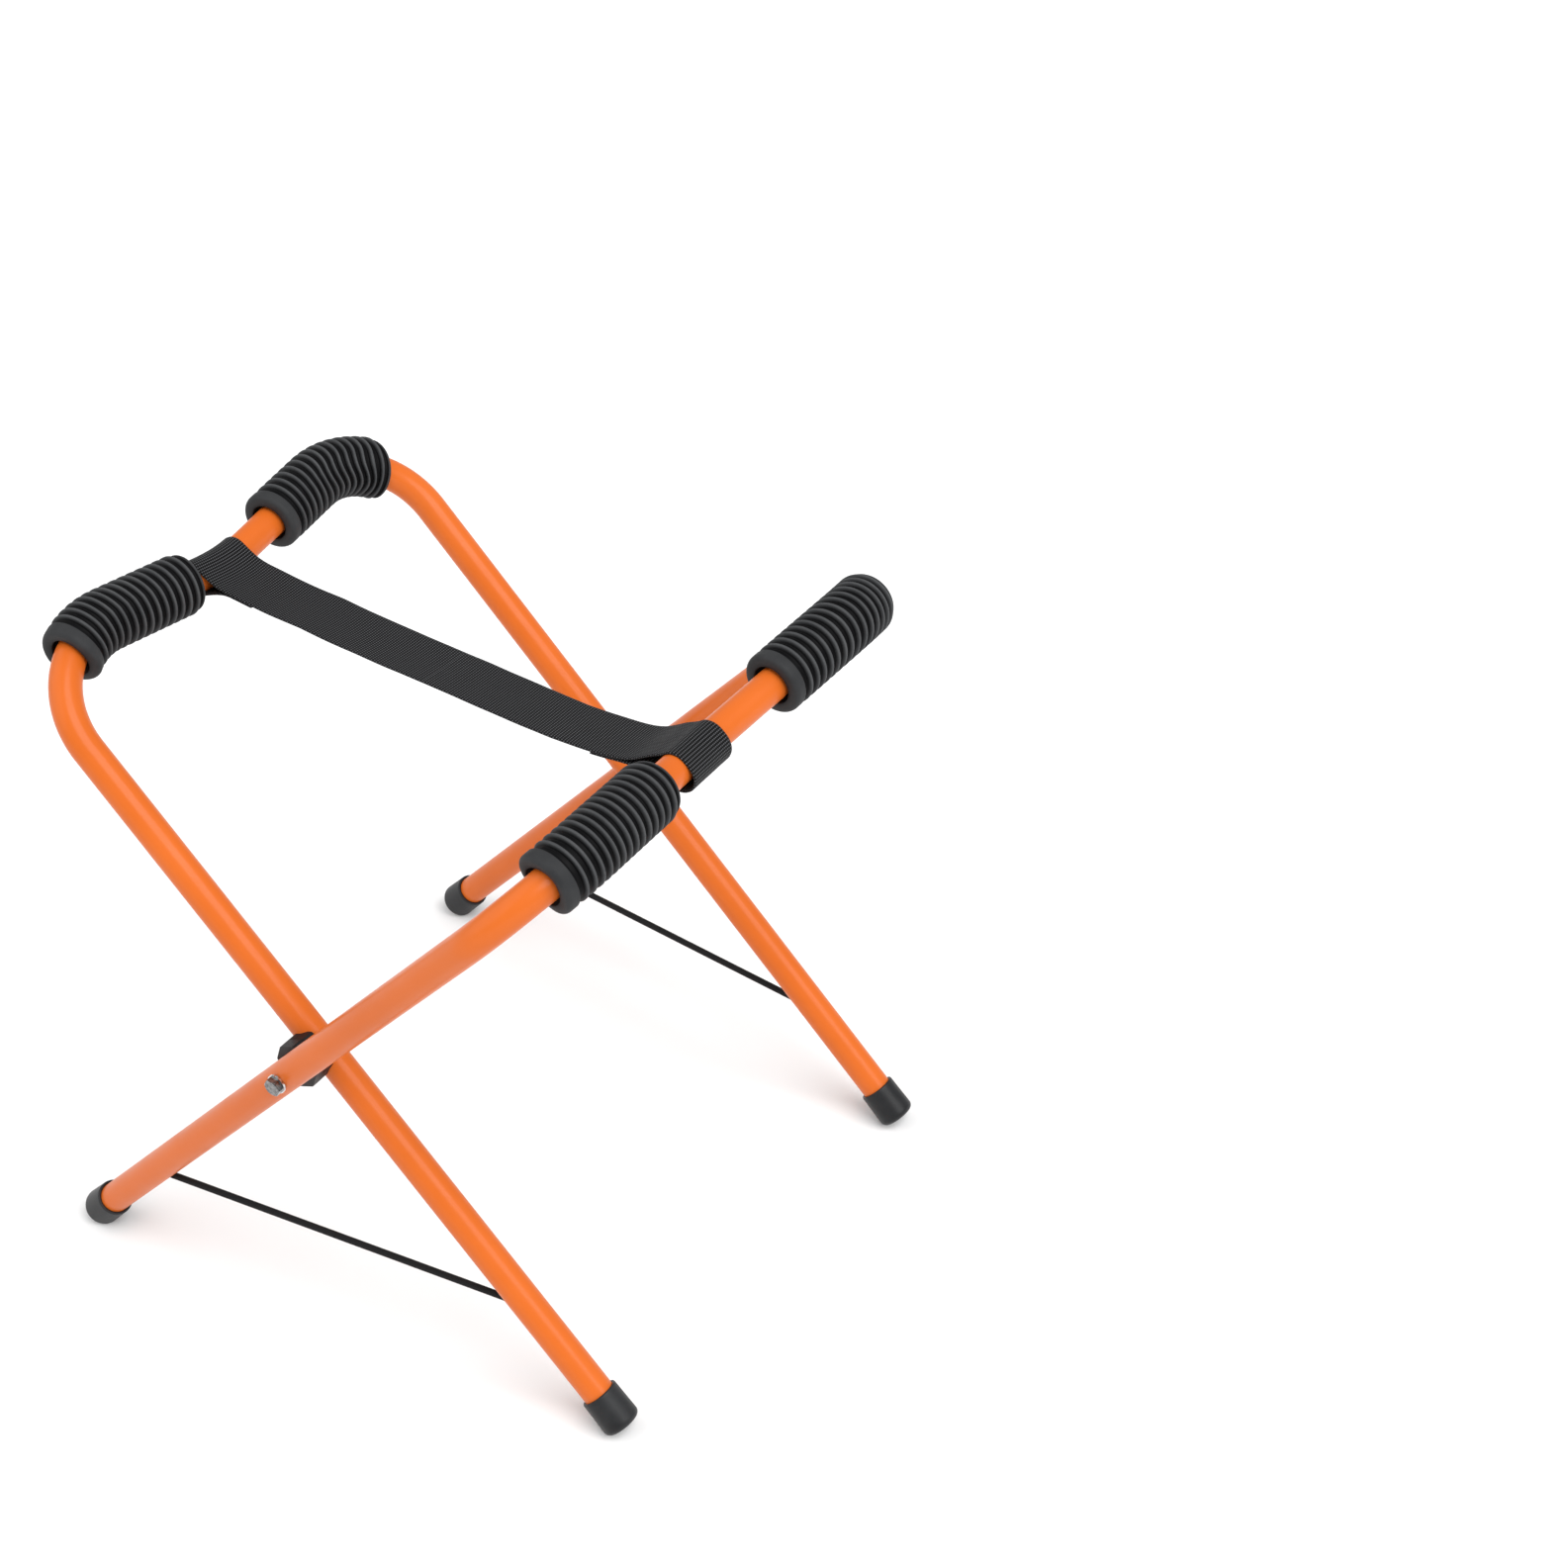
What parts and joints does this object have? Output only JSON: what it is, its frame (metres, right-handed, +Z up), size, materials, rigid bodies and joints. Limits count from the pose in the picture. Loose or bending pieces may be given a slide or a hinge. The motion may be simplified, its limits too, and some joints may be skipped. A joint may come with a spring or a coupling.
{
  "type": "sawhorse",
  "caption": "Folding X-frame sawhorse: crossed bent-tube frames on a bolted pivot, ribbed grips on the crossbars, a webbing strap and cords that limit the spread.",
  "frame": {"origin": "on the floor, under the middle of the pivot axis", "axes": "+Z up, +Y along the pivot axis, +X towards the outer frame's crossbar"},
  "size_m": [0.5398, 0.5206, 0.5607],
  "materials": {
    "painted_tube": "gloss enamel",
    "grip_rubber": "matte, ribbed",
    "foot_rubber": "satin",
    "saddle_plastic": "moulded matte",
    "webbing": "woven",
    "cord": "braided",
    "nylon": "satin",
    "zinc_steel": "zinc plated"
  },
  "bodies": {
    "outer_frame": {"outer_frame_tube": "painted_tube", "outer_grip_front": "grip_rubber", "outer_grip_rear": "grip_rubber", "outer_foot_front": "foot_rubber", "outer_foot_rear": "foot_rubber", "outer_saddle_front": "saddle_plastic", "outer_saddle_rear": "saddle_plastic", "strap_loop_outer": "webbing", "outer_cord_knots": "cord"},
    "pivot_hardware": {"pivot_bolt_front": "zinc_steel", "pivot_bolt_rear": "zinc_steel", "bolt_head_washers": "zinc_steel", "nut_washers": "zinc_steel", "lock_nuts": "zinc_steel", "nut_inserts": "nylon", "strap_web": "webbing", "limit_cord_front": "cord", "limit_cord_rear": "cord"},
    "inner_frame": {"inner_frame_tube": "painted_tube", "inner_grip_front": "grip_rubber", "inner_grip_rear": "grip_rubber", "inner_foot_front": "foot_rubber", "inner_foot_rear": "foot_rubber", "inner_saddle_front": "saddle_plastic", "inner_saddle_rear": "saddle_plastic", "strap_loop_inner": "webbing", "inner_cord_knots": "cord"}
  },
  "joints": [
    {"name": "outer_fold", "type": "hinge", "parent": "outer_frame", "child": "pivot_hardware", "pos_m": [0, 0, 0.279], "axis": [0, 1, 0], "range_deg": [0, 39], "deforming": ["strap_web", "limit_cord_front", "limit_cord_rear"]},
    {"name": "inner_fold", "type": "hinge", "parent": "pivot_hardware", "child": "inner_frame", "pos_m": [0, 0, 0.279], "axis": [0, 1, 0], "range_deg": [0, 39]}
  ],
  "couplings": [
    {"joint": "inner_fold", "follows": "outer_fold", "ratio": 1}
  ]
}
